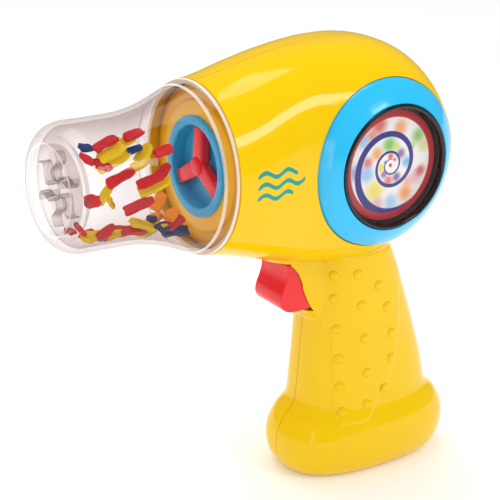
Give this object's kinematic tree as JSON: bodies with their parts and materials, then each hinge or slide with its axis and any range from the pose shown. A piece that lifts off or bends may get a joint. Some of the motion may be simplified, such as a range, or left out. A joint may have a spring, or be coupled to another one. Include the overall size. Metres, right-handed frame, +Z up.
{
  "type": "toy hair dryer",
  "caption": "Pistol-shaped toy hair dryer with a clear nozzle holding foam bits, a small fan, spinning side discs, a trigger and a battery foot.",
  "frame": {"origin": "middle of the foot's flat bottom, on the parting plane of the two shells", "axes": "+Z up, X along the barrel with the nozzle towards -X, Y across the toy through the disc axle"},
  "size_m": [0.2067, 0.0836, 0.204],
  "materials": {
    "yellow_shell": "glossy moulded ABS",
    "clear_nozzle": "clear moulded polystyrene",
    "amber_bulkhead": "moulded ABS",
    "blue_trim": "glossy moulded ABS",
    "red_parts": "glossy moulded ABS",
    "steel": "plain steel",
    "white_inner": "moulded acetal",
    "black_bezel": "glossy black ABS",
    "clear_lens": "clear moulded polystyrene",
    "printed_disc": "printed card-white ABS",
    "brass_pinion": "cut brass",
    "black_inner": "moulded ABS",
    "cell_sleeve": "printed steel can",
    "red_wire": "PVC insulation",
    "black_wire": "PVC insulation",
    "foam_yellow": "cut foam sheet",
    "foam_blue": "cut foam sheet",
    "foam_orange": "cut foam sheet",
    "foam_red": "cut foam sheet"
  },
  "bodies": {
    "housing": {"left_shell": "yellow_shell", "right_shell": "yellow_shell", "nozzle": "clear_nozzle", "front_bulkhead": "amber_bulkhead", "fan_cup": "blue_trim", "shaft_bush": "white_inner", "side_ring_left": "blue_trim", "bezel_left": "black_bezel", "window_left": "clear_lens", "axle_bush_left": "white_inner", "side_ring_right": "blue_trim", "bezel_right": "black_bezel", "window_right": "clear_lens", "axle_bush_right": "white_inner", "motor_can": "steel", "motor_end_cap": "white_inner", "gearbox_base": "white_inner", "gearbox_cover": "white_inner", "shaft_bracket": "white_inner", "trigger_pin": "steel", "trigger_spring": "steel", "switch_body": "black_inner", "battery_box": "black_inner", "battery_1": "cell_sleeve", "battery_2": "cell_sleeve", "contact_plate_front": "steel", "contact_plate_rear": "steel", "contact_spring_1": "steel", "contact_spring_2": "steel", "battery_door": "yellow_shell", "battery_door_screw": "steel", "shell_screw_1": "steel", "shell_screw_2": "steel", "shell_screw_3": "steel", "shell_screw_4": "steel", "shell_screw_5": "steel", "shell_screw_6": "steel", "wire_battery_switch": "red_wire", "wire_battery_motor": "black_wire", "wire_switch_motor": "red_wire", "foam_bit_1": "foam_yellow", "foam_bit_2": "foam_blue", "foam_bit_3": "foam_yellow", "foam_bit_4": "foam_orange", "foam_bit_5": "foam_yellow", "foam_bit_6": "foam_red", "foam_bit_7": "foam_yellow", "foam_bit_8": "foam_red"},
    "discs": {"crown_gear": "white_inner", "disc_axle": "steel", "spiral_disc_left": "printed_disc", "spiral_disc_right": "printed_disc"},
    "fan_drive": {"fan": "red_parts", "fan_shaft": "steel", "fan_gear": "white_inner", "crown_pinion": "white_inner"},
    "motor_rotor": {"motor_shaft": "steel", "motor_pinion": "brass_pinion"},
    "trigger": {"trigger": "red_parts"},
    "plunger": {"switch_plunger": "white_inner"}
  },
  "joints": [
    {"name": "disc_spin", "type": "hinge", "parent": "housing", "child": "discs", "pos_m": [-0.0195, 0, 0.155], "axis": [0, 1, 0], "continuous": true},
    {"name": "fan_spin", "type": "hinge", "parent": "housing", "child": "fan_drive", "pos_m": [-0.0795, 0, 0.155], "axis": [1, 0, 0], "continuous": true},
    {"name": "motor_spin", "type": "hinge", "parent": "housing", "child": "motor_rotor", "pos_m": [-0.0695, 0, 0.139], "axis": [1, 0, 0], "continuous": true},
    {"name": "trigger_pivot", "type": "hinge", "parent": "housing", "child": "trigger", "pos_m": [-0.0385, 0, 0.1085], "axis": [0, -1, 0], "range_deg": [0, 8], "stiffness_Nm_per_rad": 0.25, "springref_deg": -5.73, "deforming": ["trigger_spring"]},
    {"name": "plunger_slide", "type": "slide", "parent": "housing", "child": "plunger", "axis": [1, 0, 0], "range_m": [0, 0.0026]}
  ],
  "couplings": [
    {"joint": "fan_spin", "follows": "disc_spin", "ratio": 4},
    {"joint": "motor_spin", "follows": "disc_spin", "ratio": -12},
    {"joint": "plunger_slide", "follows": "trigger_pivot", "m_per_rad": 0.0155}
  ]
}
